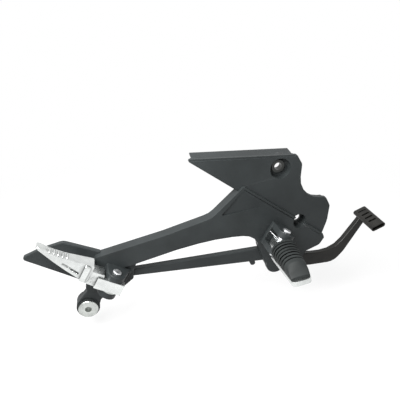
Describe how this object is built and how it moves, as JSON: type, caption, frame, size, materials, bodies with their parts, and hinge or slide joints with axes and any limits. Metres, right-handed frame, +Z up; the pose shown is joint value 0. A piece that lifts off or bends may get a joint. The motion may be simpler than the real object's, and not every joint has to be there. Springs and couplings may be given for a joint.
{
  "type": "motorcycle footrest hanger",
  "caption": "Right-hand motorcycle footrest hanger: cast bracket with a folding rubber rider peg, a folding bare pillion peg, a sprung rear brake pedal and a rubber-bushed muffler mount.",
  "frame": {"origin": "on the axis of the upper frame bolt, in the plane where the bracket's bolt pads meet the motorcycle frame", "axes": "+X forward along the motorcycle, +Y inboard towards the frame, +Z up; the outer face looks along -Y"},
  "size_m": [0.4828, 0.1379, 0.2265],
  "materials": {
    "cast": "satin black paint on cast aluminium",
    "black_steel": "satin black",
    "rubber": "matte moulded",
    "aluminium": "bare cast and machined",
    "steel": "bare turned",
    "dark_steel": "plain turned",
    "zinc": "bright zinc plate",
    "bronze": "sintered bearing bronze"
  },
  "bodies": {
    "hanger": {"hanger_bracket": "cast", "upper_mount_sleeve": "dark_steel", "muffler_collar": "steel", "muffler_grommet": "rubber", "rider_peg_pin": "zinc", "rider_pin_clip": "steel", "rider_peg_spring": "zinc", "pillion_peg_pin": "zinc", "pillion_pin_clip": "steel", "pillion_detent_plate": "steel", "pedal_pivot_bolt": "zinc", "pedal_pivot_washer": "zinc", "spring_anchor_bolt": "zinc", "pedal_return_spring": "zinc"},
    "rider_peg": {"rider_peg_core": "aluminium", "rider_peg_rubber": "rubber", "rider_pad_screw_inner": "zinc", "rider_pad_screw_outer": "zinc"},
    "pillion_peg": {"pillion_peg_body": "aluminium", "pillion_detent_ball": "steel", "pillion_detent_spring": "steel"},
    "brake_pedal": {"brake_pedal_arm": "black_steel", "brake_pedal_pad": "black_steel", "pedal_pivot_bush": "bronze"}
  },
  "joints": [
    {"name": "rider_peg_fold", "type": "hinge", "parent": "hanger", "child": "rider_peg", "pos_m": [-0.003, -0.04, -0.0954], "axis": [-0.4848, 0, -0.8746], "range_deg": [0, 75], "stiffness_Nm_per_rad": 0.3, "springref_deg": -45.84, "deforming": ["rider_peg_spring"]},
    {"name": "pillion_peg_fold", "type": "hinge", "parent": "hanger", "child": "pillion_peg", "pos_m": [-0.2287, -0.034, -0.1323], "axis": [0.4848, 0, 0.8746], "range_deg": [0, 90]},
    {"name": "brake_pedal_press", "type": "hinge", "parent": "hanger", "child": "brake_pedal", "pos_m": [0.003, 0, -0.1462], "axis": [0, 1, 0], "range_deg": [0, 12], "stiffness_Nm_per_rad": 7, "springref_deg": -12.03, "deforming": ["pedal_return_spring"]}
  ]
}
